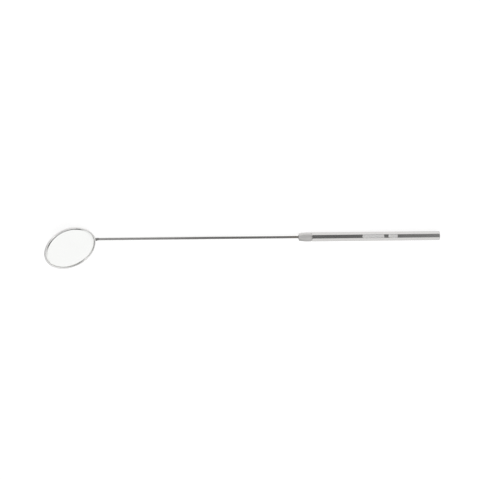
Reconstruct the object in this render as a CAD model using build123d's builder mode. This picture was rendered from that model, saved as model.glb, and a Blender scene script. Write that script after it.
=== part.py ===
from build123d import *
import os
from math import cos, radians, sin, tan

# A mouth and throat mirror: a round mirror head on a long wire stem, which screws into an octagonal handle.
# The frame: +X runs from the handle to the mirror, +Z is up, and the symmetry plane is XZ. The handle
# lies on one of its flats at z = 0, and the origin is below the middle of the whole length. Millimetres.

os.makedirs("parts", exist_ok=True)

# Driving dimensions
HEAD_DIAMETER = 28.5  # over the bezel
HEAD_TILT = 23.8  # degrees between the mirror's plane and the handle's axis
BEAD_RADIUS = 0.45  # rounding of the bezel's outer edge
STEM_DIAMETER = 1.3
STEM_SPAN = 107.7  # along X, from the bezel's edge to the front of the nose
STEM_RISE = 0.5  # of the wire above the handle's axis, where it meets the bezel's edge
STEM_BEND_RADIUS = 3.5  # to the wire's centre line
NOSE_LENGTH = 6.6
NOSE_FRONT_DIAMETER = 3.9  # its back is as wide as the handle's flats
HANDLE_ACROSS_FLATS = 4.85
HANDLE_LENGTH = 67.8
THREAD_DIAMETER = 2.4  # over the crests of the M2.5 x 0.45 stud
RUNNING_GAP = 0.05  # radial, between the stud and what it passes through

# Head, measured from the middle plane of the bezel's bead towards the reflecting face
BEZEL_LIP_RADIUS = 13.3
BEZEL_LIP_HEIGHT = 0.1
CUP_RADIUS = 13.7
CUP_WALL = 0.3
CUP_CORNER_RADIUS = 0.5
GLASS_RADIUS = 13.35
GLASS_TOP = 0.25
GLASS_THICKNESS = 0.9
BEVEL_INNER_RADIUS = 11.85
BEVEL_DROP = 0.3
SEAL_DEPTH = 0.35  # below the bevel's edge
SILVER_THICKNESS = 0.04
LACQUER_THICKNESS = 0.08
COATING_RADIUS = 13.25
CUSHION_RADIUS = 13.15
CUSHION_THICKNESS = 0.28
WIRE_LEVEL = -0.4  # of the stem's centre line where it meets the head
WIRE_SEAT_DEPTH = 0.1  # of the wire's end into the cup's wall, before it is shaped to the wall

# Solder at the bezel, and the braze where the wire enters the nose
SOLDER_REACH = 0.9  # along the wire, from the bezel's edge
SOLDER_WRAP = 0.6  # back under the bead
SOLDER_RADIUS = 0.8
SOLDER_TIP_RADIUS = 0.72
BRAZE_RADIUS = 1.05
BRAZE_LENGTH = 0.5

# Nose, stud and washer
NOSE_FRONT_ROUND = 0.3
NOSE_SHOULDER_LENGTH = 1.6
NOSE_SHOULDER_CHAMFER = 0.15
WIRE_SOCKET_DEPTH = 3.4
STUD_SOCKET_DEPTH = 2.6
STUD_REACH = 4.0  # beyond the washer, into the handle
STUD_NECK_LENGTH = 0.6
STUD_NECK_DIAMETER = 1.9
STUD_CHAMFER = 0.3
WASHER_DIAMETER = 4.6
WASHER_THICKNESS = 0.3
FACE_GAP = 0.02  # on each side of the washer

# Handle
HANDLE_BORE = 3.6
HANDLE_EDGE_RADIUS = 0.12
HANDLE_END_INSET = 0.15  # of the end faces' edge from the flats, left by the turned end chamfer
BUSH_LENGTH = 6.0
BUSH_COUNTERSINK = 0.25
PLUG_LENGTH = 5.0
PLUG_CHAMFER = 0.2

# Worked out from the dimensions above
HEAD_RADIUS = HEAD_DIAMETER / 2
TILT = radians(HEAD_TILT)
BEAD_CENTRE = HEAD_RADIUS - BEAD_RADIUS
AXIS_HEIGHT = HANDLE_ACROSS_FLATS / 2
HANDLE_CORNER_RADIUS = AXIS_HEIGHT / cos(radians(22.5))
HEAD_OFFSET = HEAD_RADIUS * cos(TILT) + WIRE_LEVEL * sin(TILT)  # along X, from the wire's end to the middle
HEAD_REACH = HEAD_OFFSET + BEAD_CENTRE * cos(TILT) + BEAD_RADIUS
WASHER_STACK = WASHER_THICKNESS + 2 * FACE_GAP
OVERALL_LENGTH = HANDLE_LENGTH + WASHER_STACK + NOSE_LENGTH + STEM_SPAN + HEAD_REACH

TAIL_X = -OVERALL_LENGTH / 2
HANDLE_FRONT_X = TAIL_X + HANDLE_LENGTH
NOSE_BACK_X = HANDLE_FRONT_X + WASHER_STACK
NOSE_FRONT_X = NOSE_BACK_X + NOSE_LENGTH
RIM_X = NOSE_FRONT_X + STEM_SPAN
HEAD_HEIGHT = AXIS_HEIGHT + STEM_RISE + HEAD_RADIUS * sin(TILT) - WIRE_LEVEL * cos(TILT)
HEAD_CENTRE = Vector(RIM_X + HEAD_OFFSET, 0, HEAD_HEIGHT)

# Profiles of the handle's round parts lie in the XZ plane, and turn about the handle's axis
HANDLE_PROFILE = Plane(origin=(0, 0, AXIS_HEIGHT), x_dir=(1, 0, 0), z_dir=(0, -1, 0))
HANDLE_AXIS = Axis((0, 0, AXIS_HEIGHT), (1, 0, 0))

# Profiles of the head lie in the same plane, tilted: local x is the radius and local y the height
HEAD_PROFILE = Plane(origin=HEAD_CENTRE, x_dir=(cos(TILT), 0, sin(TILT)), z_dir=(0, -1, 0))
HEAD_AXIS = Axis(HEAD_CENTRE, (-sin(TILT), 0, cos(TILT)))

GLASS_BOTTOM = GLASS_TOP - GLASS_THICKNESS
SILVER_BOTTOM = GLASS_BOTTOM - SILVER_THICKNESS
LACQUER_BOTTOM = SILVER_BOTTOM - LACQUER_THICKNESS
CUP_FLOOR = LACQUER_BOTTOM - CUSHION_THICKNESS
CUP_BOTTOM = CUP_FLOOR - CUP_WALL
CUP_INNER_RADIUS = CUP_RADIUS - CUP_WALL


def bevel_height(radius):
    """Height of the glass's bevelled edge at a radius."""
    share = (radius - BEVEL_INNER_RADIUS) / (GLASS_RADIUS - BEVEL_INNER_RADIUS)
    return GLASS_TOP - BEVEL_DROP * share


# ---- Mirror head ----

# Bezel: a bead round the outside, rolled inwards to a lip over the glass
with BuildPart() as bezel_ring:
    with BuildSketch(HEAD_PROFILE):
        with BuildLine():
            crown = (BEAD_CENTRE, BEAD_RADIUS)
            lip = (BEZEL_LIP_RADIUS, BEZEL_LIP_HEIGHT)
            keel_depth = -((BEAD_RADIUS**2 - (BEAD_CENTRE - CUP_RADIUS) ** 2) ** 0.5)
            keel = (CUP_RADIUS, keel_depth)
            TangentArc(crown, lip, tangent=(-1, 0))
            ThreePointArc(crown, (HEAD_RADIUS, 0), keel)
            Polyline(keel, (CUP_RADIUS, BEZEL_LIP_HEIGHT), lip)
        make_face()
    revolve(axis=HEAD_AXIS)

# Back cup: a pressed dish that carries the glass, with a rounded corner behind the bezel
with BuildPart() as back_cup:
    with BuildSketch(HEAD_PROFILE):
        with BuildLine():
            corner_height = CUP_BOTTOM + CUP_CORNER_RADIUS
            corner_radius = CUP_RADIUS - CUP_CORNER_RADIUS
            inner_corner = CUP_CORNER_RADIUS - CUP_WALL
            Polyline((0, CUP_FLOOR), (0, CUP_BOTTOM), (corner_radius, CUP_BOTTOM))
            RadiusArc((corner_radius, CUP_BOTTOM), (CUP_RADIUS, corner_height), -CUP_CORNER_RADIUS)
            Polyline(
                (CUP_RADIUS, corner_height),
                (CUP_RADIUS, BEZEL_LIP_HEIGHT),
                (CUP_INNER_RADIUS, BEZEL_LIP_HEIGHT),
                (CUP_INNER_RADIUS, corner_height),
            )
            RadiusArc((CUP_INNER_RADIUS, corner_height), (corner_radius, CUP_FLOOR), inner_corner)
            Line((corner_radius, CUP_FLOOR), (0, CUP_FLOOR))
        make_face()
    revolve(axis=HEAD_AXIS)

# Glass disc with a ground bevel
with BuildPart() as mirror_glass:
    with BuildSketch(HEAD_PROFILE):
        with BuildLine():
            Polyline(
                (0, GLASS_BOTTOM),
                (GLASS_RADIUS, GLASS_BOTTOM),
                (GLASS_RADIUS, bevel_height(GLASS_RADIUS)),
                (BEVEL_INNER_RADIUS, GLASS_TOP),
                (0, GLASS_TOP),
                close=True,
            )
        make_face()
    revolve(axis=HEAD_AXIS)

# Silvering, the lacquer that protects it, and the card that cushions the glass in the cup
with BuildPart() as silver_layer:
    with BuildSketch(Plane(origin=HEAD_CENTRE, z_dir=HEAD_AXIS.direction).offset(SILVER_BOTTOM)):
        Circle(COATING_RADIUS)
    extrude(amount=SILVER_THICKNESS)

with BuildPart() as backing_lacquer:
    with BuildSketch(Plane(origin=HEAD_CENTRE, z_dir=HEAD_AXIS.direction).offset(LACQUER_BOTTOM)):
        Circle(COATING_RADIUS)
    extrude(amount=LACQUER_THICKNESS)

with BuildPart() as cushion_disc:
    with BuildSketch(Plane(origin=HEAD_CENTRE, z_dir=HEAD_AXIS.direction).offset(CUP_FLOOR)):
        Circle(CUSHION_RADIUS)
    extrude(amount=CUSHION_THICKNESS)

# Cement between the glass's edge, the cup's wall and the bezel's lip
with BuildPart() as edge_seal:
    with BuildSketch(HEAD_PROFILE):
        with BuildLine():
            seal_bottom = bevel_height(GLASS_RADIUS) - SEAL_DEPTH
            Polyline(
                (BEZEL_LIP_RADIUS, bevel_height(BEZEL_LIP_RADIUS)),
                (GLASS_RADIUS, bevel_height(GLASS_RADIUS)),
                (GLASS_RADIUS, seal_bottom),
                (CUP_INNER_RADIUS, seal_bottom),
                (CUP_INNER_RADIUS, BEZEL_LIP_HEIGHT),
                (BEZEL_LIP_RADIUS, BEZEL_LIP_HEIGHT),
                close=True,
            )
        make_face()
    revolve(axis=HEAD_AXIS)

# Stem: a wire that leaves the bezel in the mirror's plane and bends into line with the handle
with BuildPart() as stem_wire:
    with BuildLine() as stem_path:
        wire_centre = HEAD_CENTRE + HEAD_AXIS.direction * WIRE_LEVEL
        cup_end = wire_centre - HEAD_PROFILE.x_dir * (CUP_RADIUS - WIRE_SEAT_DEPTH)
        bend_corner = Vector(RIM_X - STEM_RISE / tan(TILT), 0, AXIS_HEIGHT)
        socket_end = Vector(NOSE_FRONT_X - WIRE_SOCKET_DEPTH, 0, AXIS_HEIGHT)
        FilletPolyline(cup_end, bend_corner, socket_end, radius=STEM_BEND_RADIUS)
    with BuildSketch(Plane(origin=stem_path.line @ 0, z_dir=stem_path.line % 0)):
        Circle(STEM_DIAMETER / 2)
    sweep()
    add(bezel_ring.part, mode=Mode.SUBTRACT)
    add(back_cup.part, mode=Mode.SUBTRACT)

# Solder: a small fillet round the wire's end, saddled under the bead and on the cup's wall
with BuildPart() as solder_joint:
    with BuildSketch(HEAD_PROFILE):
        with BuildLine():
            wrap = -(HEAD_RADIUS - SOLDER_WRAP)
            reach = -(HEAD_RADIUS + SOLDER_REACH)
            solder_edge = (wrap, WIRE_LEVEL + SOLDER_RADIUS)
            solder_tip = (reach, WIRE_LEVEL + SOLDER_TIP_RADIUS)
            Polyline(solder_edge, (wrap, WIRE_LEVEL), (reach, WIRE_LEVEL), solder_tip)
            TangentArc(solder_tip, solder_edge, tangent=(1, 0))
        make_face()
    revolve(axis=Axis(wire_centre, HEAD_PROFILE.x_dir))
    add(bezel_ring.part, mode=Mode.SUBTRACT)
    add(back_cup.part, mode=Mode.SUBTRACT)
    add(stem_wire.part, mode=Mode.SUBTRACT)

# Nose: a turned cone with a socket for the wire in front and one for the stud behind
with BuildPart() as nose_cone:
    with BuildSketch(HANDLE_PROFILE):
        with BuildLine():
            front_radius = NOSE_FRONT_DIAMETER / 2
            shoulder_x = NOSE_BACK_X + NOSE_SHOULDER_LENGTH
            Polyline(
                (NOSE_FRONT_X - NOSE_FRONT_ROUND, 0),
                (NOSE_BACK_X, 0),
                (NOSE_BACK_X, AXIS_HEIGHT - NOSE_SHOULDER_CHAMFER),
                (NOSE_BACK_X + NOSE_SHOULDER_CHAMFER, AXIS_HEIGHT),
                (shoulder_x, AXIS_HEIGHT),
            )
            side_end = (NOSE_FRONT_X - NOSE_FRONT_ROUND, front_radius)
            TangentArc((shoulder_x, AXIS_HEIGHT), side_end, tangent=(1, 0))
            RadiusArc(side_end, (NOSE_FRONT_X, front_radius - NOSE_FRONT_ROUND), NOSE_FRONT_ROUND)
            Polyline(
                (NOSE_FRONT_X, front_radius - NOSE_FRONT_ROUND),
                (NOSE_FRONT_X, 0),
                (NOSE_FRONT_X - NOSE_FRONT_ROUND, 0),
            )
        make_face()
    revolve(axis=HANDLE_AXIS)
    with BuildSketch(Plane.YZ.offset(NOSE_FRONT_X)):
        with Locations((0, AXIS_HEIGHT)):
            Circle(STEM_DIAMETER / 2)
    extrude(amount=-WIRE_SOCKET_DEPTH, mode=Mode.SUBTRACT)
    with BuildSketch(Plane.YZ.offset(NOSE_BACK_X)):
        with Locations((0, AXIS_HEIGHT)):
            Circle(THREAD_DIAMETER / 2)
    extrude(amount=STUD_SOCKET_DEPTH, mode=Mode.SUBTRACT)

# Braze fillet round the wire at the nose's front face
with BuildPart() as stem_braze:
    with BuildSketch(HANDLE_PROFILE):
        with BuildLine():
            foot = (NOSE_FRONT_X, BRAZE_RADIUS)
            tip = (NOSE_FRONT_X + BRAZE_LENGTH, STEM_DIAMETER / 2)
            Polyline(foot, (NOSE_FRONT_X, STEM_DIAMETER / 2), tip)
            TangentArc(tip, foot, tangent=(-1, 0))
        make_face()
    revolve(axis=HANDLE_AXIS)

# Stud: pressed into the nose, with a thread that turns in the handle's bush
with BuildPart() as thread_stud:
    with BuildSketch(HANDLE_PROFILE):
        with BuildLine():
            stud_front = NOSE_BACK_X + STUD_SOCKET_DEPTH
            stud_end = HANDLE_FRONT_X - STUD_REACH
            neck_start = HANDLE_FRONT_X + WASHER_STACK
            neck_end = neck_start - WASHER_STACK - STUD_NECK_LENGTH
            Polyline(
                (stud_front, 0),
                (stud_front, THREAD_DIAMETER / 2),
                (neck_start, THREAD_DIAMETER / 2),
                (neck_start - STUD_CHAMFER, STUD_NECK_DIAMETER / 2),
                (neck_end + STUD_CHAMFER, STUD_NECK_DIAMETER / 2),
                (neck_end, THREAD_DIAMETER / 2),
                (stud_end + STUD_CHAMFER, THREAD_DIAMETER / 2),
                (stud_end, THREAD_DIAMETER / 2 - STUD_CHAMFER),
                (stud_end, 0),
                close=True,
            )
        make_face()
    revolve(axis=HANDLE_AXIS)

# Lock washer: a thin spring-steel ring between the nose and the handle
with BuildPart() as lock_washer:
    with BuildSketch(Plane.YZ.offset(HANDLE_FRONT_X + FACE_GAP)):
        with Locations((0, AXIS_HEIGHT)):
            Circle(WASHER_DIAMETER / 2)
            Circle(THREAD_DIAMETER / 2 + RUNNING_GAP, mode=Mode.SUBTRACT)
    extrude(amount=WASHER_THICKNESS)

# ---- Handle ----

# Octagonal tube, with one flat down, softened long edges and ends chamfered on a lathe
with BuildPart() as handle_tube:
    with BuildSketch(Plane.YZ.offset(TAIL_X)):
        with Locations((0, AXIS_HEIGHT)):
            RegularPolygon(AXIS_HEIGHT, 8, major_radius=False, rotation=22.5)
    extrude(amount=HANDLE_LENGTH)
    fillet(edges().filter_by(Axis.X), radius=HANDLE_EDGE_RADIUS)
    with BuildSketch(HANDLE_PROFILE):
        with BuildLine():
            end_radius = AXIS_HEIGHT - HANDLE_END_INSET
            slope = HANDLE_CORNER_RADIUS - end_radius
            Polyline(
                (TAIL_X, HANDLE_BORE / 2),
                (TAIL_X, end_radius),
                (TAIL_X + slope, HANDLE_CORNER_RADIUS),
                (HANDLE_FRONT_X - slope, HANDLE_CORNER_RADIUS),
                (HANDLE_FRONT_X, end_radius),
                (HANDLE_FRONT_X, HANDLE_BORE / 2),
                close=True,
            )
        make_face()
    revolve(axis=HANDLE_AXIS, mode=Mode.INTERSECT)

# Threaded bush, pressed into the front of the tube and countersunk at its mouth
with BuildPart() as threaded_bush:
    with BuildSketch(HANDLE_PROFILE):
        with BuildLine():
            bush_bore = THREAD_DIAMETER / 2 + RUNNING_GAP
            Polyline(
                (HANDLE_FRONT_X, bush_bore + BUSH_COUNTERSINK),
                (HANDLE_FRONT_X, HANDLE_BORE / 2),
                (HANDLE_FRONT_X - BUSH_LENGTH, HANDLE_BORE / 2),
                (HANDLE_FRONT_X - BUSH_LENGTH, bush_bore),
                (HANDLE_FRONT_X - BUSH_COUNTERSINK, bush_bore),
                close=True,
            )
        make_face()
    revolve(axis=HANDLE_AXIS)

# End plug, pressed into the tail
with BuildPart() as end_plug:
    with BuildSketch(Plane.YZ.offset(TAIL_X)):
        with Locations((0, AXIS_HEIGHT)):
            Circle(HANDLE_BORE / 2)
    extrude(amount=PLUG_LENGTH)
    chamfer(faces().filter_by(Axis.X).edges(), length=PLUG_CHAMFER)

# ---- Files ----

PIECES = {
    "bezel_ring": bezel_ring,
    "back_cup": back_cup,
    "mirror_glass": mirror_glass,
    "silver_layer": silver_layer,
    "backing_lacquer": backing_lacquer,
    "cushion_disc": cushion_disc,
    "edge_seal": edge_seal,
    "stem_wire": stem_wire,
    "solder_joint": solder_joint,
    "nose_cone": nose_cone,
    "stem_braze": stem_braze,
    "thread_stud": thread_stud,
    "lock_washer": lock_washer,
    "handle_tube": handle_tube,
    "threaded_bush": threaded_bush,
    "end_plug": end_plug,
}
for node, piece in PIECES.items():
    piece.part.label = node
    export_step(piece.part, f"parts/{node}.step")
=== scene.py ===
import math

import bmesh
import bpy
from mathutils import Matrix, Vector, noise

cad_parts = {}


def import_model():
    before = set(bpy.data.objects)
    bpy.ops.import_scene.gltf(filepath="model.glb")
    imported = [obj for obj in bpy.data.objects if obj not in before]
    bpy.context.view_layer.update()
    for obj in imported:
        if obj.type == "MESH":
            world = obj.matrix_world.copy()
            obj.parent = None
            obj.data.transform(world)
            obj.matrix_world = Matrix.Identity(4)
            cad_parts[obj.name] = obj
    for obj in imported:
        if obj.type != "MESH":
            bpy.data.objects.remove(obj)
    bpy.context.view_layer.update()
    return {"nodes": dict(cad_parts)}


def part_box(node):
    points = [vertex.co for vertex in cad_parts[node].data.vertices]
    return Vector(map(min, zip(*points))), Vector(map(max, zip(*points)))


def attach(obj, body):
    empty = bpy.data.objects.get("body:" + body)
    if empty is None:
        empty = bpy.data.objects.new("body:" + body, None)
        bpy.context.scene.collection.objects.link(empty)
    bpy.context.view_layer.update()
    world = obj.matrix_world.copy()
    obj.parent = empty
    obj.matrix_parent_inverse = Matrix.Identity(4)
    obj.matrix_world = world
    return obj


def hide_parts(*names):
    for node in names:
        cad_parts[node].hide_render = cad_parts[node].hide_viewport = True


# A mouth and throat mirror: the looks of every visible piece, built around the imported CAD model.
# Metres, in the row frame: +X runs from the handle to the mirror, +Z is up.

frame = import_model()
nodes = frame["nodes"]

MM = 0.001

# ---- Places, read from the frame ----


def span(node, origin, direction):
    """Lowest and highest reach of a CAD node from a point, along a direction."""
    reach = [(v.co - origin).dot(direction) for v in nodes[node].data.vertices]
    return min(reach), max(reach)


def width(node):
    """Size of a CAD node across the instrument."""
    low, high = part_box(node)
    return high.y - low.y


def ends(node):
    """Where a CAD node starts and ends along the instrument."""
    low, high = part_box(node)
    return low.x, high.x


handle_low, handle_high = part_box("handle_tube")
TAIL_X, FRONT_X = handle_low.x, handle_high.x
ACROSS_FLATS = handle_high.z - handle_low.z
AXIS_Z = (handle_low.z + handle_high.z) / 2
NOSE_BACK_X, NOSE_FRONT_X = ends("nose_cone")
STUD_END_X, STUD_FRONT_X = ends("thread_stud")
BUSH_END_X = ends("threaded_bush")[0]
PLUG_END_X = ends("end_plug")[1]

bezel_low, bezel_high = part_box("bezel_ring")
HEAD_CENTRE = (bezel_low + bezel_high) / 2
HEAD_RADIUS = width("bezel_ring") / 2
glass_faces = [p for p in nodes["mirror_glass"].data.polygons if p.normal.z > 0]
HEAD_NORMAL = max(glass_faces, key=lambda p: p.area).normal.copy()
HEAD_ACROSS = Vector((HEAD_NORMAL.z, 0, -HEAD_NORMAL.x))  # in the mirror's plane, away from the handle

CUP_RADIUS = width("back_cup") / 2
GLASS_RADIUS = width("mirror_glass") / 2
CUP_BOTTOM, LIP_HEIGHT = span("back_cup", HEAD_CENTRE, HEAD_NORMAL)
BEAD_RADIUS = span("bezel_ring", HEAD_CENTRE, HEAD_NORMAL)[1]
GLASS_BOTTOM, GLASS_TOP = span("mirror_glass", HEAD_CENTRE, HEAD_NORMAL)
BEAD_CENTRE = HEAD_RADIUS - BEAD_RADIUS
WIRE_RADIUS = width("stem_wire") / 2

# Details that the boxes don't give, in metres, as the CAD model has them
LIP_RADIUS = 13.3 * MM
BEVEL_RADIUS = 11.85 * MM
BEVEL_DROP = 0.3 * MM
CUP_WALL = 0.3 * MM
CUP_CORNER = 0.5 * MM
WIRE_LEVEL = -0.4 * MM  # of the stem's centre line where it meets the head
WIRE_BEND = 3.5 * MM
BRAZE_RADIUS = 1.05 * MM
BRAZE_LENGTH = 0.5 * MM
NOSE_FRONT_RADIUS = 1.95 * MM
NOSE_FRONT_ROUND = 0.3 * MM
NOSE_SHOULDER = 1.6 * MM
NOSE_SHOULDER_CHAMFER = 0.15 * MM
STUD_NECK_RADIUS = 0.95 * MM
STUD_NECK_LENGTH = 0.6 * MM
STUD_CHAMFER = 0.3 * MM
HANDLE_BORE = 1.8 * MM
HANDLE_EDGE = 0.12 * MM
HANDLE_END_RADIUS = ACROSS_FLATS / 2 - 0.15 * MM
THREAD_RADIUS = 1.2 * MM
THREAD_PITCH = 0.45 * MM
BUSH_BORE = 1.25 * MM
BUSH_COUNTERSINK = 0.25 * MM

# Details that only these pieces have
LIP_WAVE = 0.006 * MM
GLASS_EDGE_ROUND = 0.02 * MM
GLASS_BACK_GAP = 0.005 * MM  # clear of the CAD's silver layer
PRESSED_RING = ((8.6, 0), (8.75, 0.07), (9.25, 0.07), (9.4, 0))  # radius and depth in the cup's back, in mm
WIRE_WANDER = 0.03 * MM
# where the wire's painted shade begins by the head, and where it is fullest towards the nose
WIRE_SHADE_START_X, WIRE_SHADE_FULL_X = 58 * MM, 18 * MM
SOLDER_REACH = 1.9 * MM  # along the wire, from the bezel's edge
SOLDER_THICKNESS = 0.36 * MM
STUD_THREAD_DEPTH = 0.24 * MM
BUSH_THREAD_DEPTH = 0.2 * MM
BUSH_MOUTH_WIDTH = 0.3 * MM
LINING_RADIUS = HANDLE_BORE - 0.005 * MM  # of the bush and the plug, just clear of the handle's bore
FACE_INSET = 0.01 * MM  # of the bush's and the plug's faces, in from the handle's
FLAT_CROWN = 0.008 * MM
CORNER_WEAR = 0.004 * MM
FROSTED_FIELDS = ((26.8 * MM, 38.2 * MM), (40.5 * MM, 45.3 * MM))  # from the handle's front, along it
FIELD_HALF_WIDTH = 0.80 * MM
HATCH_PITCH = 0.3 * MM

# A lathe turns about its own Z: these place it on the handle's axis, with heights as the row's X, and
# on the mirror's axis, with heights from the middle of the bezel's bead
ON_HANDLE = Matrix(((0, 0, 1, 0), (1, 0, 0, 0), (0, 1, 0, AXIS_Z), (0, 0, 0, 1)))
HEAD_TURN = Matrix((HEAD_ACROSS, (0, 1, 0), HEAD_NORMAL)).transposed()
ON_HEAD = Matrix.Translation(HEAD_CENTRE) @ HEAD_TURN.to_4x4()

# ---- Meshes ----

LONG_RUN = 0.5 * MM
SUPPORT_GAP = 0.04 * MM


def skin(name, rings, loop=False):
    """An object whose surface runs through rings of points. A ring of one point closes an end."""
    points, first = [], []
    for ring in rings:
        first.append(len(points))
        points.extend(ring)
    faces = []
    pairs = list(zip(range(len(rings)), range(1, len(rings))))
    if loop:
        pairs.append((len(rings) - 1, 0))
    for a, b in pairs:
        count = max(len(rings[a]), len(rings[b]))
        for i in range(count):
            j = (i + 1) % count
            corners = []
            for k, ring in ((i, a), (j, a), (j, b), (i, b)):
                corner = first[ring] + (k if len(rings[ring]) > 1 else 0)
                if corner not in corners:
                    corners.append(corner)
            faces.append(corners)
    mesh = bpy.data.meshes.new(name)
    mesh.from_pydata([tuple(p) for p in points], [], faces)
    piece = bpy.data.objects.new(name, mesh)
    bpy.context.scene.collection.objects.link(piece)
    return piece


def smooth(piece, crease_degrees=30):
    """Outward normals and smooth shading, with creases where faces meet at more than an angle."""
    work = bmesh.new()
    work.from_mesh(piece.data)
    bmesh.ops.recalc_face_normals(work, faces=work.faces)
    for face in work.faces:
        face.smooth = True
    for edge in work.edges:
        edge.smooth = edge.calc_face_angle(0) < math.radians(crease_degrees)
    work.to_mesh(piece.data)
    work.free()
    return piece


def circle(height, radius, place, segments):
    """A lathe ring, or its one point if the radius is 0. A radius may be a function of the angle."""
    if radius == 0:
        return [place @ Vector((0, 0, height))]
    ring = []
    for i in range(segments):
        angle = 2 * math.pi * i / segments
        r = radius(angle) if callable(radius) else radius
        ring.append(place @ Vector((r * math.cos(angle), r * math.sin(angle), height)))
    return ring


def supported(profile):
    """The profile with points added near the ends of its long runs, which keeps them flat when smooth."""
    full = [profile[0]]
    for before, after in zip(profile, profile[1:]):
        if not callable(before[1]) and not callable(after[1]):
            start, end = Vector(before), Vector(after)
            run = (end - start).length
            if run > LONG_RUN:
                near = SUPPORT_GAP / run
                full += [tuple(start.lerp(end, share)) for share in (near, 1 - near)]
        full.append(after)
    return full


def lathe(name, profile, place, segments=160, loop=False, crease_degrees=30):
    """A turned piece from (height, radius) points."""
    rings = [circle(height, radius, place, segments) for height, radius in supported(profile)]
    return smooth(skin(name, rings, loop), crease_degrees)


def arc(centre, radius, start, end, steps):
    """Points on an arc, angles in degrees, as (across, up) from the centre."""
    angles = [math.radians(start + (end - start) * i / steps) for i in range(steps + 1)]
    return [(centre[0] + radius * math.cos(a), centre[1] + radius * math.sin(a)) for a in angles]


def rounded(corners, radius, steps=5, closed=False):
    """A polyline with each corner turned into a short arc-like curve that starts a radius from it."""
    count = len(corners)
    path = []
    for i, corner in enumerate(corners):
        if not closed and i in (0, count - 1):
            path.append(corner)
            continue
        here = Vector(corner)
        before = Vector(corners[i - 1]) - here
        after = Vector(corners[(i + 1) % count]) - here
        reach = min(radius, before.length / 2, after.length / 2)
        start, end = here + before.normalized() * reach, here + after.normalized() * reach
        for k in range(steps + 1):
            t = k / steps
            point = start * (1 - t) ** 2 + here * (2 * t * (1 - t)) + end * t**2
            path.append(tuple(point))
    return path


def evenly(start, end, count):
    """count + 1 values from start to end."""
    return [start + (end - start) * i / count for i in range(count + 1)]


# ---- Materials ----


class Finish:
    """A material with one Principled shader, and short calls to add and join nodes."""

    def __init__(self, name, **sockets):
        self.material = bpy.data.materials.new(name)
        self.material.use_nodes = True
        self.tree = self.material.node_tree
        self.shader = self.tree.nodes["Principled BSDF"]
        for socket, value in sockets.items():
            self.set(self.shader, socket.replace("_", " "), value)

    def set(self, node, socket, value):
        target = node.inputs[socket]
        if isinstance(value, bpy.types.NodeSocket):
            self.tree.links.new(value, target)
        else:
            target.default_value = value

    def add(self, kind, inputs=None, **settings):
        node = self.tree.nodes.new(kind)
        for key, value in settings.items():
            setattr(node, key, value)
        for socket, value in (inputs or {}).items():
            self.set(node, socket, value)
        return node

    def place(self):
        """The point on the piece, in metres, in the row frame at rest."""
        return self.add("ShaderNodeTexCoord").outputs["Object"]

    def math(self, operation, a, b=0.0, c=0.0):
        node = self.add("ShaderNodeMath", {0: a, 1: b, 2: c}, operation=operation)
        return node.outputs[0]

    def dot(self, vector, direction):
        node = self.add("ShaderNodeVectorMath", {0: vector, 1: direction}, operation="DOT_PRODUCT")
        return node.outputs["Value"]

    def minus(self, vector, point):
        node = self.add("ShaderNodeVectorMath", {0: vector, 1: point}, operation="SUBTRACT")
        return node.outputs[0]

    def distance(self, a, b):
        """How far a place is from an axis, from two distances square to each other."""
        squares = self.math("ADD", self.math("MULTIPLY", a, a), self.math("MULTIPLY", b, b))
        return self.math("SQRT", squares)

    def stretch(self, vector, scale):
        node = self.add("ShaderNodeVectorMath", {0: vector, 1: scale}, operation="MULTIPLY")
        return node.outputs[0]

    def noise(self, vector, scale=1.0, detail=3.0, rough=0.5):
        inputs = {"Vector": vector, "Scale": scale, "Detail": detail, "Roughness": rough}
        return self.add("ShaderNodeTexNoise", inputs).outputs["Fac"]

    def remap(self, value, low, high, to_low=0.0, to_high=1.0, soft=False):
        inputs = {"Value": value, "From Min": low, "From Max": high, "To Min": to_low, "To Max": to_high}
        node = self.add("ShaderNodeMapRange", inputs)
        if soft:
            node.interpolation_type = "SMOOTHSTEP"
        return node.outputs["Result"]

    def mix(self, share, a, b):
        node = self.add("ShaderNodeMix", data_type="RGBA")
        self.set(node, 0, share)
        self.set(node, 6, a)
        self.set(node, 7, b)
        return node.outputs[2]

    def bump(self, height, strength, distance, onto=None):
        inputs = {"Height": height, "Strength": strength, "Distance": distance}
        if onto is not None:
            inputs["Normal"] = onto
        return self.add("ShaderNodeBump", inputs).outputs["Normal"]

    def wear(self, colour=None, roughness=None, normal=None):
        """Joins colour, roughness and normal to the shader."""
        for socket, value in (("Base Color", colour), ("Roughness", roughness), ("Normal", normal)):
            if value is not None:
                self.set(self.shader, socket, value)
        return self.material


def grey(value, warmth=0.0):
    """A near-neutral colour, warmer or cooler by a share."""
    return (value * (1 + warmth), value, value * (1 - warmth), 1.0)


def nickel_plate():
    """Nickel plate: soft reflections, faint clouds and hairlines."""
    f = Finish("nickel_plate", Metallic=1.0)
    place = f.place()
    cloud = f.noise(place, 260, 4)
    hair = f.noise(f.stretch(place, (900, 5200, 2600)), 1.0, 2)
    colour = f.mix(cloud, grey(0.81, 0.010), grey(0.89, 0.006))
    rough = f.remap(f.math("ADD", cloud, hair), 0.6, 1.4, 0.22, 0.34)
    return f.wear(colour, rough, f.bump(hair, 0.08, 0.004 * MM))


def spun_nickel():
    """The back cup: plate over rings left by spinning."""
    f = Finish("spun_nickel", Metallic=1.0)
    place = f.place()
    offset = f.minus(place, HEAD_CENTRE)
    across = f.dot(offset, HEAD_ACROSS)
    side = f.dot(offset, (0, 1, 0))
    radius = f.distance(across, side)
    ring_place = f.add("ShaderNodeCombineXYZ", {"X": radius}).outputs[0]
    rings = f.noise(f.stretch(ring_place, (5200, 0, 0)), 1.0, 3, 0.7)
    cloud = f.noise(place, 220, 3)
    colour = f.mix(rings, grey(0.66, 0.014), grey(0.78, 0.008))
    rough = f.remap(f.math("ADD", rings, cloud), 0.5, 1.5, 0.16, 0.30)
    return f.wear(colour, rough, f.bump(rings, 0.35, 0.006 * MM))


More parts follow.
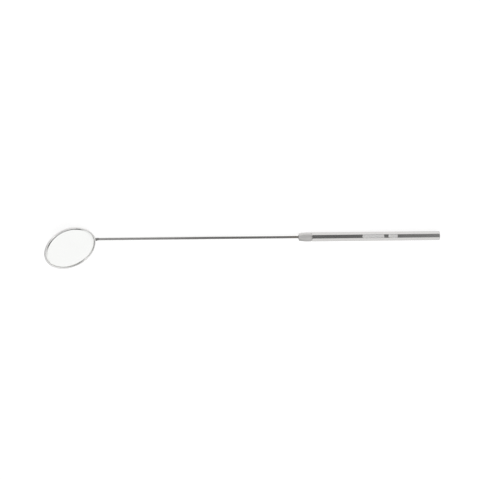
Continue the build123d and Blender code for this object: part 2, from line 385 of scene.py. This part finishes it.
def streaked_steel(name, dark, light, rough_low, rough_high):
    """Steel with fine lines along the handle's axis: its finish, place, colour, roughness and normal."""
    warmth = 0.016
    f = Finish(name, Metallic=1.0)
    place = f.place()
    lines = f.noise(f.stretch(place, (180, 9000, 9000)), 1.0, 4, 0.6)
    cloud = f.noise(place, 150, 3)
    share = f.math("MULTIPLY_ADD", cloud, 0.5, f.math("MULTIPLY", lines, 0.5))
    colour = f.mix(share, grey(dark, warmth), grey(light, warmth))
    rough = f.remap(lines, 0.3, 0.7, rough_low, rough_high)
    return f, place, colour, rough, f.bump(lines, 0.2, 0.004 * MM)


def drawn_wire():
    """The stem: drawn wire, with painted shade that darkens its colour towards the nose, and straw coloured
    by the braze.
    """
    f, place, colour, rough, normal = streaked_steel("drawn_wire", 0.36, 0.46, 0.20, 0.34)
    along = f.add("ShaderNodeSeparateXYZ", {0: place}).outputs["X"]
    # painted shade: the wire's colour turns darker towards the nose
    painted_shade_to_nose = f.remap(along, WIRE_SHADE_START_X, WIRE_SHADE_FULL_X, 0.0, 0.9, soft=True)
    colour = f.mix(painted_shade_to_nose, colour, f.mix(f.noise(place, 500, 3), grey(0.19, 0.03), grey(0.24, 0.02)))
    heat = f.remap(along, NOSE_FRONT_X + 8 * MM, NOSE_FRONT_X, 0.0, 1.0, soft=True)
    mottled = f.math("MULTIPLY", heat, f.remap(f.noise(place, 900, 3), 0.3, 0.7, 0.2, 0.8))
    return f.wear(f.mix(mottled, colour, (0.26, 0.22, 0.17, 1.0)), rough, normal)


def turned_steel(name, dark, light, rough_low, rough_high):
    """Satin steel with fine rings round the handle's axis."""
    warmth = 0.015
    f = Finish(name, Metallic=1.0)
    place = f.place()
    along = f.add("ShaderNodeSeparateXYZ", {0: place}).outputs["X"]
    ring_place = f.add("ShaderNodeCombineXYZ", {"X": along}).outputs[0]
    rings = f.noise(f.stretch(ring_place, (9000, 0, 0)), 1.0, 3, 0.7)
    cloud = f.noise(place, 600, 3)
    share = f.math("MULTIPLY", f.math("ADD", rings, cloud), 0.5)
    colour = f.mix(share, grey(dark, warmth), grey(light, warmth))
    rough = f.remap(rings, 0.3, 0.7, rough_low, rough_high)
    return f.wear(colour, rough, f.bump(rings, 0.3, 0.006 * MM))


def ground_steel():
    """The handle: flats ground along their length, brighter worn edges and two frosted fields."""
    f, place, colour, rough, normal = streaked_steel("ground_steel", 0.60, 0.70, 0.10, 0.18)
    offset = f.minus(place, (0, 0, AXIS_Z))
    parts = f.add("ShaderNodeSeparateXYZ", {0: offset})
    along, side, up = (parts.outputs[axis] for axis in "XYZ")
    radius = f.distance(side, up)
    edge = f.remap(radius, ACROSS_FLATS * 0.53, ACROSS_FLATS * 0.538, soft=True)
    worn = f.math("MULTIPLY", edge, f.remap(f.noise(place, 700, 3), 0.35, 0.65, 0.2, 0.9))
    colour = f.mix(worn, colour, grey(0.84, 0.008))

    # frosted fields on the flat that faces up and to the front, where a maker would mark it
    outward = f.dot(offset, (0, -math.sqrt(0.5), math.sqrt(0.5)))
    across = f.dot(offset, (0, math.sqrt(0.5), math.sqrt(0.5)))
    on_flat = f.math("GREATER_THAN", outward, ACROSS_FLATS * 0.49)
    soft_edge = 0.06 * MM
    band = f.remap(f.math("ABSOLUTE", across), FIELD_HALF_WIDTH, FIELD_HALF_WIDTH + soft_edge, 1.0, 0.0)
    fields = 0.0
    for start, end in FROSTED_FIELDS:
        low, high = FRONT_X - end, FRONT_X - start
        begins = f.remap(along, low, low + soft_edge)
        stops = f.remap(along, high, high - soft_edge)
        fields = f.math("MAXIMUM", fields, f.math("MULTIPLY", begins, stops))
    mask = f.math("MULTIPLY", f.math("MULTIPLY", fields, band), on_flat)
    hatch_place = f.math("ADD", along, across)
    hatch = f.math("SINE", f.math("MULTIPLY", hatch_place, 2 * math.pi / HATCH_PITCH))
    grain = f.noise(place, 9000, 2)
    frost = f.math("MULTIPLY", mask, f.remap(f.math("ADD", hatch, grain), -0.2, 0.8, 0.25, 1.0))
    colour = f.mix(frost, colour, grey(0.98, 0.006))
    rough = f.add("ShaderNodeMix", {0: frost, 2: rough, 3: 0.95}).outputs[0]
    normal = f.bump(f.math("MULTIPLY", mask, grain), 0.5, 0.01 * MM, normal)
    return f.wear(colour, rough, normal)


def silver_solder():
    """Solder and braze: dull and a little yellow, rippled as it flowed."""
    f = Finish("silver_solder", Metallic=1.0)
    place = f.place()
    flow = f.noise(place, 1400, 4)
    colour = f.mix(flow, grey(0.18, 0.03), grey(0.30, 0.02))
    return f.wear(colour, f.remap(flow, 0.3, 0.7, 0.30, 0.50), f.bump(flow, 0.5, 0.03 * MM))


def brass():
    """Turned brass with darker tarnish."""
    f = Finish("bush_brass", Metallic=1.0)
    place = f.place()
    tarnish = f.noise(place, 1100, 4)
    colour = f.mix(tarnish, (0.48, 0.33, 0.12, 1.0), (0.78, 0.60, 0.28, 1.0))
    return f.wear(colour, f.remap(tarnish, 0.3, 0.7, 0.38, 0.22), f.bump(tarnish, 0.2, 0.01 * MM))


def clear_glass():
    """Polished glass with a trace of smears."""
    f = Finish("clear_glass", Base_Color=(0.988, 0.994, 0.990, 1.0), IOR=1.52, Transmission_Weight=1.0)
    smear = f.noise(f.stretch(f.place(), (120, 340, 120)), 1.0, 4, 0.65)
    return f.wear(roughness=f.remap(smear, 0.5, 0.8, 0.0, 0.035))


def silvering():
    """Silver behind the glass, a little dull at the rim."""
    f = Finish("silvering", Metallic=1.0)
    place = f.place()
    offset = f.minus(place, HEAD_CENTRE)
    length = f.add("ShaderNodeVectorMath", {0: offset}, operation="LENGTH").outputs["Value"]
    rim = f.remap(length, GLASS_RADIUS - 0.9 * MM, GLASS_RADIUS, 0.0, 1.0, soft=True)
    spots = f.math("MULTIPLY", rim, f.remap(f.noise(place, 1600, 4), 0.45, 0.7, 0.0, 0.8))
    colour = f.mix(spots, (0.955, 0.955, 0.945, 1.0), (0.80, 0.78, 0.72, 1.0))
    return f.wear(colour, f.remap(spots, 0.0, 1.0, 0.01, 0.2))


def grained(name, dark, light, scale, rough_low, rough_high, depth):
    """A plain matt or satin stuff with a grain: paint, card or cement."""
    f = Finish(name)
    grain = f.noise(f.place(), scale, 4, 0.6)
    colour = f.mix(grain, (*dark, 1.0), (*light, 1.0))
    return f.wear(colour, f.remap(grain, 0.3, 0.7, rough_low, rough_high), f.bump(grain, 0.4, depth))


# ---- Mirror head ----


def bezel():
    """The rolled bead and its lip, a little wavy where it was burnished over the glass."""
    drop = BEAD_RADIUS - LIP_HEIGHT
    across = BEAD_CENTRE - LIP_RADIUS
    lip_curve = (across**2 + drop**2) / (2 * drop)
    lip_centre = (BEAD_CENTRE, BEAD_RADIUS - lip_curve)
    lip_angle = math.degrees(math.atan2(LIP_HEIGHT - lip_centre[1], LIP_RADIUS - BEAD_CENTRE))
    keel_angle = -90 - math.degrees(math.asin((BEAD_CENTRE - CUP_RADIUS) / BEAD_RADIUS))
    outline = arc((BEAD_CENTRE, 0), BEAD_RADIUS, keel_angle, 90, 26)
    outline += arc(lip_centre, lip_curve, 90, lip_angle, 10)[1:]
    outline.append((CUP_RADIUS, LIP_HEIGHT))
    profile = [(height, radius) for radius, height in outline]
    piece = lathe("bezel_rim", profile, ON_HEAD, 288, loop=True, crease_degrees=40)
    for vertex in piece.data.vertices:
        offset = vertex.co - HEAD_CENTRE
        wave = noise.noise(offset.normalized() * 7.0)
        vertex.co -= offset.normalized() * (LIP_WAVE * (wave + 1))
    return piece


def glass():
    """The bevelled disc. Its back face is silvered."""
    bevel_edge = GLASS_TOP - BEVEL_DROP
    corners = [(GLASS_TOP, 0), (GLASS_TOP, BEVEL_RADIUS), (bevel_edge, GLASS_RADIUS)]
    bottom = GLASS_BOTTOM + GLASS_BACK_GAP
    corners += [(bottom, GLASS_RADIUS), (bottom, 0)]
    profile = [corners[0], *rounded(corners[1:4], GLASS_EDGE_ROUND, 3), corners[4]]
    piece = lathe("glass_disc", profile, ON_HEAD, 256, crease_degrees=6)
    piece.data.materials.append(MATERIALS["clear_glass"])
    piece.data.materials.append(MATERIALS["silvering"])
    for face in piece.data.polygons:
        height = (ON_HEAD.inverted() @ face.center).z
        face.material_index = 1 if height < bottom + 0.001 * MM else 0
    return piece


def back_shell():
    """The cup, with a shallow ring pressed into its back."""
    corner = (CUP_RADIUS - CUP_CORNER, CUP_BOTTOM + CUP_CORNER)
    profile = [(CUP_BOTTOM, 0)]
    profile += [(CUP_BOTTOM + depth * MM, radius * MM) for radius, depth in PRESSED_RING]
    profile += [(height, radius) for radius, height in arc(corner, CUP_CORNER, -90, 0, 10)]
    profile += [(LIP_HEIGHT, CUP_RADIUS), (LIP_HEIGHT, CUP_RADIUS - CUP_WALL)]
    profile += [(height, radius) for radius, height in arc(corner, CUP_CORNER - CUP_WALL, 0, -90, 5)]
    profile.append((CUP_BOTTOM + CUP_WALL, 0))
    return lathe("back_shell", profile, ON_HEAD, 256)


def tube(name, path, radius, segments=40):
    """A round tube along points in the XZ plane. radius is a function of the share of the way."""
    rings = []
    for i, point in enumerate(path):
        before, after = path[max(i - 1, 0)], path[min(i + 1, len(path) - 1)]
        ahead = (after - before).normalized()
        up = ahead.cross(Vector((0, 1, 0)))
        r = radius(i / (len(path) - 1))
        angles = [2 * math.pi * k / segments for k in range(segments)]
        rings.append([point + up * (r * math.cos(a)) + Vector((0, r * math.sin(a), 0)) for a in angles])
    return smooth(skin(name, [[path[0]], *rings, [path[-1]]]), 50)


def wire_path():
    """The wire's centre line: from under the bead, round its bend and along to the nose."""
    level = HEAD_CENTRE + HEAD_NORMAL * WIRE_LEVEL
    start = level - HEAD_ACROSS * (CUP_RADIUS - 0.05 * MM)
    slope = HEAD_ACROSS.z / HEAD_ACROSS.x
    corner = Vector((start.x - (start.z - AXIS_Z) / slope, 0, AXIS_Z))
    turn = math.atan(slope)
    centre = corner + Vector((-WIRE_BEND * math.tan(turn / 2), 0, WIRE_BEND))
    bend = [centre + Vector((math.sin(a), 0, -math.cos(a))) * WIRE_BEND for a in evenly(turn, 0, 14)]
    end = Vector((NOSE_FRONT_X - 0.5 * MM, 0, AXIS_Z))
    path = [start, (start + bend[0]) / 2, *bend]
    for share in evenly(0, 1, 90)[1:]:
        point = bend[-1].lerp(end, share)
        fade = WIRE_WANDER * math.sin(math.pi * share)
        point.y += fade * noise.noise(Vector((share * 5, 0.3, 0)))
        point.z += fade * noise.noise(Vector((share * 5, 4.7, 0)))
        path.append(point)
    return path


def cut(path, start, end, count):
    """Points spread evenly on a path between two distances from its first point."""
    points = []
    for distance in evenly(start, end, count):
        for before, after in zip(path, path[1:]):
            run = (after - before).length
            if distance <= run:
                break
            distance -= run
        points.append(before.lerp(after, distance / run))
    return points


def stem():
    """The wire."""
    return tube("stem_rod", wire_path(), lambda share: WIRE_RADIUS)


def solder():
    """A fillet that flowed round the wire under the bead, and out along it."""
    path = cut(wire_path(), 0.1 * MM, HEAD_RADIUS - CUP_RADIUS + SOLDER_REACH, 30)
    piece = tube("solder_fillet", path, lambda share: WIRE_RADIUS + 0.01 * MM, 56)
    for vertex in piece.data.vertices:
        step = min(range(len(path)), key=lambda i: (path[i] - vertex.co).length)
        outward = (vertex.co - path[step]).normalized()
        spare = 1 - step / (len(path) - 1)
        under = 0.65 - 0.35 * outward.dot(HEAD_NORMAL)  # less on top, where the bead is
        lump = 1 + 0.25 * noise.noise((vertex.co - path[0]) * 1600)
        vertex.co += outward * (SOLDER_THICKNESS * spare**1.4 * under * lump)
    return smooth(piece, 70)


def braze():
    """A small fillet where the wire enters the nose."""
    inner = WIRE_RADIUS * 0.9
    foot = NOSE_FRONT_X - 0.05 * MM
    profile = [(foot, inner), (foot, BRAZE_RADIUS)]
    for share in evenly(0, 1, 10):
        radius = WIRE_RADIUS + (BRAZE_RADIUS - WIRE_RADIUS) * (1 - share) ** 2
        profile.append((NOSE_FRONT_X + BRAZE_LENGTH * share, radius))
    profile.append((NOSE_FRONT_X + BRAZE_LENGTH, inner))
    return lathe("braze_fillet", profile, ON_HANDLE, 72, loop=True, crease_degrees=50)


def nose():
    """The turned cone, with softened edges."""
    back = ACROSS_FLATS / 2
    shoulder_x = NOSE_BACK_X + NOSE_SHOULDER
    run = NOSE_FRONT_X - NOSE_FRONT_ROUND - shoulder_x
    drop = back - NOSE_FRONT_RADIUS
    curve = (run**2 + drop**2) / (2 * drop)
    side = []
    for share in evenly(0, 1, 16):
        x = run * share
        side.append((shoulder_x + x, back - curve + math.sqrt(curve**2 - x**2)))
    front_corner = (NOSE_FRONT_X - NOSE_FRONT_ROUND, NOSE_FRONT_RADIUS - NOSE_FRONT_ROUND)
    front = arc(front_corner, NOSE_FRONT_ROUND, 80, 0, 7)
    corners = [(NOSE_BACK_X, 0.9 * back), (NOSE_BACK_X, back), (NOSE_BACK_X + NOSE_SHOULDER / 2, back)]
    edge = rounded(corners, NOSE_SHOULDER_CHAMFER)
    profile = [(NOSE_BACK_X, 0), *edge, *side, *front, (NOSE_FRONT_X, 0)]
    return lathe("nose_turned", profile, ON_HANDLE, 144, crease_degrees=35)


def thread(x, angle, crest, depth):
    """Radius of a right-hand thread at a place along the axis and an angle round it."""
    phase = (x / THREAD_PITCH - angle / (2 * math.pi)) % 1.0
    off_crest = abs(phase - 0.5) * 2
    crest_flat, flank = 0.125, 0.625
    return crest - depth * min(max((off_crest - crest_flat) / flank, 0), 1)


def stud():
    """The screw: a plain root in the nose, a turned neck and a cut thread with a chamfered end."""
    neck_start = FRONT_X
    neck_end = FRONT_X - STUD_NECK_LENGTH

    def radius_at(x):
        if x > NOSE_BACK_X:
            return lambda angle: THREAD_RADIUS
        if x > neck_start:
            share = (NOSE_BACK_X - x) / (NOSE_BACK_X - neck_start)
            return lambda angle: THREAD_RADIUS + (STUD_NECK_RADIUS - THREAD_RADIUS) * share
        if x > neck_end:
            return lambda angle: STUD_NECK_RADIUS
        end_chamfer = THREAD_RADIUS - STUD_CHAMFER + (x - STUD_END_X)
        start_chamfer = STUD_NECK_RADIUS + (neck_end - x)
        cap = min(end_chamfer, start_chamfer)
        return lambda angle: min(thread(x, angle, THREAD_RADIUS, STUD_THREAD_DEPTH), cap)

    heights = evenly(STUD_END_X, neck_end - 0.001 * MM, 96)
    heights += evenly(neck_end, neck_start, 3)
    heights += evenly(neck_start + 0.01 * MM, NOSE_BACK_X, 3)
    heights.append(STUD_FRONT_X)
    profile = [(STUD_END_X, 0), *((x, radius_at(x)) for x in heights), (STUD_FRONT_X, 0)]
    return lathe("stud_thread", profile, ON_HANDLE, 72, crease_degrees=60)


def washer():
    """A thin ring with rolled edges."""
    low, high = ends("lock_washer")
    outer = width("lock_washer") / 2
    corners = [(low, BUSH_BORE), (low, outer), (high, outer), (high, BUSH_BORE)]
    profile = rounded(corners, 0.09 * MM, 4, closed=True)
    return lathe("washer_ring", profile, ON_HANDLE, 120, loop=True)


# ---- Handle ----


def octagon():
    """The handle's section as (across, up) points, with softened corners and flats crowned by polishing."""
    half = ACROSS_FLATS / 2
    flat = (half - HANDLE_EDGE) * math.tan(math.radians(22.5))
    points = []
    for side in range(8):
        turn = Matrix.Rotation(math.radians(45 * side), 2)
        for share in evenly(-1, 1, 8):
            low = FLAT_CROWN * share**2
            points.append(turn @ Vector((half - low, flat * share)))
        centre = Vector((half - HANDLE_EDGE, flat))
        for step in range(1, 6):
            a = math.radians(45 * step / 6)
            points.append(turn @ (centre + Vector((math.cos(a), math.sin(a))) * (HANDLE_EDGE - CORNER_WEAR)))
    return points


def handle():
    """The octagonal tube, its ends chamfered on a lathe, with its bore."""
    section = octagon()

    def ring(x, radius=None, inset=0):
        """A ring of the section's points, at a radius, and set in by how far each is past the chamfer."""
        points = []
        for point in section:
            reach = radius or point.length
            past = (point.length - HANDLE_END_RADIUS) * inset
            points.append(Vector((x + past, *(point.normalized() * reach))) + Vector((0, 0, AXIS_Z)))
        return points

    rings = [ring(TAIL_X, HANDLE_END_RADIUS), ring(TAIL_X, inset=1)]
    rings += [ring(x) for x in evenly(TAIL_X + 0.6 * MM, FRONT_X - 0.6 * MM, 60)]
    rings += [ring(FRONT_X, inset=-1), ring(FRONT_X, HANDLE_END_RADIUS)]
    rings += [ring(FRONT_X, HANDLE_BORE), ring(TAIL_X, HANDLE_BORE)]
    return smooth(skin("handle_octagon", rings, loop=True), 14)


def bush():
    """The bush, countersunk and threaded inside."""
    inside = evenly(BUSH_END_X, FRONT_X - BUSH_COUNTERSINK, 150)
    profile = [(x, lambda angle, x=x: BUSH_BORE + thread(x, angle, 0, -BUSH_THREAD_DEPTH)) for x in inside]
    face = FRONT_X - FACE_INSET
    profile += [(face, BUSH_BORE + BUSH_MOUTH_WIDTH), (face, LINING_RADIUS), (BUSH_END_X, LINING_RADIUS)]
    return lathe("bush_threaded", profile, ON_HANDLE, 64, loop=True, crease_degrees=60)


def plug():
    """The plug, faced off, with a small centre mark from the lathe."""
    outer = LINING_RADIUS
    face = TAIL_X + FACE_INSET
    corners = [(face + 0.28 * MM, 0.05 * MM), (face, 0.38 * MM), (face, outer), (face + 1 * MM, outer)]
    mark_bottom = face + 0.3 * MM
    profile = [(mark_bottom, 0), *rounded(corners, 0.12 * MM, 4), (PLUG_END_X, outer), (PLUG_END_X, 0)]
    return lathe("plug_faced", profile, ON_HANDLE, 96)


# ---- The object ----

MATERIALS = {
    "nickel_plate": nickel_plate(),
    "spun_nickel": spun_nickel(),
    "drawn_wire": drawn_wire(),
    "turned_steel": turned_steel("turned_steel", 0.62, 0.72, 0.52, 0.60),
    "thread_steel": turned_steel("thread_steel", 0.46, 0.58, 0.26, 0.36),
    "spring_steel": turned_steel("spring_steel", 0.68, 0.78, 0.40, 0.50),
    "plug_steel": turned_steel("plug_steel", 0.54, 0.64, 0.24, 0.34),
    "ground_steel": ground_steel(),
    "silver_solder": silver_solder(),
    "brass": brass(),
    "clear_glass": clear_glass(),
    "silvering": silvering(),
    "lacquer": grained("red_lacquer", (0.20, 0.05, 0.03), (0.34, 0.10, 0.06), 900, 0.3, 0.5, 0.01 * MM),
    "card": grained("cushion_card", (0.46, 0.38, 0.27), (0.66, 0.58, 0.44), 2600, 0.8, 0.95, 0.03 * MM),
    "cement": grained("edge_cement", (0.74, 0.74, 0.72), (0.86, 0.86, 0.84), 3000, 0.5, 0.7, 0.01 * MM),
}

# piece, its material, the body it rides on, the CAD node it stands for, the record's slot
PIECES = (
    (bezel(), "nickel_plate", "mirror_head", "bezel_ring", "plated_bezel"),
    (back_shell(), "spun_nickel", "mirror_head", "back_cup", "plated_cup"),
    (glass(), None, "mirror_head", "mirror_glass", "mirror_glass"),
    (stem(), "drawn_wire", "mirror_head", "stem_wire", "drawn_wire"),
    (solder(), "silver_solder", "mirror_head", "solder_joint", "silver_solder"),
    (braze(), "silver_solder", "mirror_head", "stem_braze", "silver_solder"),
    (nose(), "turned_steel", "mirror_head", "nose_cone", "turned_steel"),
    (stud(), "thread_steel", "mirror_head", "thread_stud", "thread_steel"),
    (washer(), "spring_steel", "washer", "lock_washer", "spring_steel"),
    (handle(), "ground_steel", "handle", "handle_tube", "ground_steel"),
    (bush(), "brass", "handle", "threaded_bush", "bush_brass"),
    (plug(), "plug_steel", "handle", "end_plug", "plug_steel"),
)
for piece, material, body, node, slot in PIECES:
    if material:  # the glass has its own two
        piece.data.materials.append(MATERIALS[material])
    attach(piece, body)
    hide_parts(node)

KEPT_NODES = {
    "silver_layer": "silvering",
    "backing_lacquer": "lacquer",
    "cushion_disc": "card",
    "edge_seal": "cement",
}
for node, material in KEPT_NODES.items():
    nodes[node].material_slots[0].material = MATERIALS[material]

# ---- Stage ----

FLOOR_SIZE = 6.0
FLOOR_GLOW = 0.80
SOFTBOX_HEIGHT = 1.4
SOFTBOX_SIZE = 1.6
SOFTBOX_WATTS = 4

# The studio: a grey room, with patches that are lighter or darker, each as the direction of its
# middle, the angles where it starts and is full, in degrees, and its level
ROOM_LEVEL = 0.50
PATCHES = (
    ((0, 0, 1), 30, 12, 0.95),  # lamp above
    ((0, 0, -1), 128, 100, 0.18),  # dark low down, all round
    ((-0.90, -0.15, 0.40), 50, 25, 0.95),  # window on the handle's side
    ((0.75, 0.60, 0.30), 45, 20, 0.25),  # dark wall on the mirror's side
    ((-0.36, 0.70, 0.61), 32, 20, 1.0),  # white panel behind the instrument
    ((0.54, -0.60, 0.59), 15, 5, 2.6),  # lamp beside the camera
    ((-0.05, -0.712, 0.70), 9, 0, 0.12),  # dark camera
)


def floor():
    """The table, tilted as it lies to the instrument, which rests on its nose and the bend of its wire."""
    pivot_x = NOSE_BACK_X + NOSE_SHOULDER
    points = [v.co for name in ("back_cup", "bezel_ring", "stem_wire") for v in nodes[name].data.vertices]
    slope = min((p.z - handle_low.z) / (p.x - pivot_x) for p in points if p.x > NOSE_FRONT_X)
    half = FLOOR_SIZE / 2
    outline = ((-half, -half), (half, -half), (half, half), (-half, half))
    corners = [(x, y, handle_low.z + (x - pivot_x) * slope) for x, y in outline]
    mesh = bpy.data.meshes.new("table_top")
    mesh.from_pydata(corners, [], [(0, 1, 2, 3)])
    table = bpy.data.objects.new("table_top", mesh)
    bpy.context.scene.collection.objects.link(table)
    f = Finish("table_white", Roughness=0.85, Emission_Color=(1, 1, 1, 1), Emission_Strength=FLOOR_GLOW)
    grain = f.noise(f.place(), 40)
    table.data.materials.append(f.wear(f.mix(grain, grey(0.30), grey(0.33))))


def world():
    """The room and its patches, as a level for each direction."""
    made = bpy.data.worlds.new("studio")
    made.use_nodes = True
    tree = made.node_tree
    background = tree.nodes["Background"]
    background.inputs["Color"].default_value = (1, 1, 1, 1)
    direction = tree.nodes.new("ShaderNodeTexCoord").outputs["Generated"]
    level = None
    for towards, edge, core, patch_level in PATCHES:
        closeness = tree.nodes.new("ShaderNodeVectorMath")
        closeness.operation = "DOT_PRODUCT"
        closeness.inputs[1].default_value = Vector(towards).normalized()
        tree.links.new(direction, closeness.inputs[0])
        share = tree.nodes.new("ShaderNodeMapRange")
        share.interpolation_type = "SMOOTHSTEP"
        share.inputs["From Min"].default_value = math.cos(math.radians(edge))
        share.inputs["From Max"].default_value = math.cos(math.radians(core))
        tree.links.new(closeness.outputs["Value"], share.inputs["Value"])
        mix = tree.nodes.new("ShaderNodeMix")
        mix.inputs[2].default_value = ROOM_LEVEL
        if level:
            tree.links.new(level, mix.inputs[2])
        mix.inputs[3].default_value = patch_level
        tree.links.new(share.outputs["Result"], mix.inputs[0])
        level = mix.outputs[0]
    seen = tree.nodes.new("ShaderNodeMix")  # what the camera sees past the table is plain white
    seen.inputs[3].default_value = 1.0
    tree.links.new(tree.nodes.new("ShaderNodeLightPath").outputs["Is Camera Ray"], seen.inputs[0])
    tree.links.new(level, seen.inputs[2])
    tree.links.new(seen.outputs[0], background.inputs["Strength"])
    bpy.context.scene.world = made


def softbox():
    """A large soft lamp straight above, which fills the shadows and isn't mirrored in the metal."""
    light = bpy.data.lights.new("softbox", "AREA")
    light.size = SOFTBOX_SIZE
    light.energy = SOFTBOX_WATTS
    lamp = bpy.data.objects.new("softbox", light)
    lamp.location = (0, 0, SOFTBOX_HEIGHT)
    lamp.visible_glossy = False
    bpy.context.scene.collection.objects.link(lamp)


# The camera looks down at about 45 degrees from the side. It is turned over, so the mirror is on the left
CAMERA_ELEVATION = math.radians(45.45)
CAMERA_ROLL = math.radians(179.40)
CAMERA_DISTANCE = 721.6 * MM
CAMERA_ANGLE = math.radians(20)
CLIP_NEAR, CLIP_FAR = 0.01, 20
AIM_ACROSS = 76.64 * MM  # from the wire's end at the bezel, along the picture's width
AIM_UP = -0.45 * MM


def camera():
    """The camera, aimed from the wire's end at the bezel."""
    rim = HEAD_CENTRE + HEAD_NORMAL * WIRE_LEVEL - HEAD_ACROSS * HEAD_RADIUS
    back = Vector((0, -math.cos(CAMERA_ELEVATION), math.sin(CAMERA_ELEVATION)))
    upright = Matrix((Vector((1, 0, 0)), back.cross(Vector((1, 0, 0))), back)).transposed()
    turned = upright @ Matrix.Rotation(CAMERA_ROLL, 3, "Z")
    aim = Vector((rim.x, 0, AXIS_Z)) + turned @ Vector((AIM_ACROSS, AIM_UP, 0))
    data = bpy.data.cameras.new("camera")
    data.angle = CAMERA_ANGLE
    data.clip_start, data.clip_end = CLIP_NEAR, CLIP_FAR
    view = bpy.data.objects.new("camera", data)
    view.matrix_world = Matrix.Translation(aim + back * CAMERA_DISTANCE) @ turned.to_4x4()
    bpy.context.scene.collection.objects.link(view)
    bpy.context.scene.camera = view


floor()
world()
softbox()
camera()
bpy.context.scene.view_settings.view_transform = "Standard"
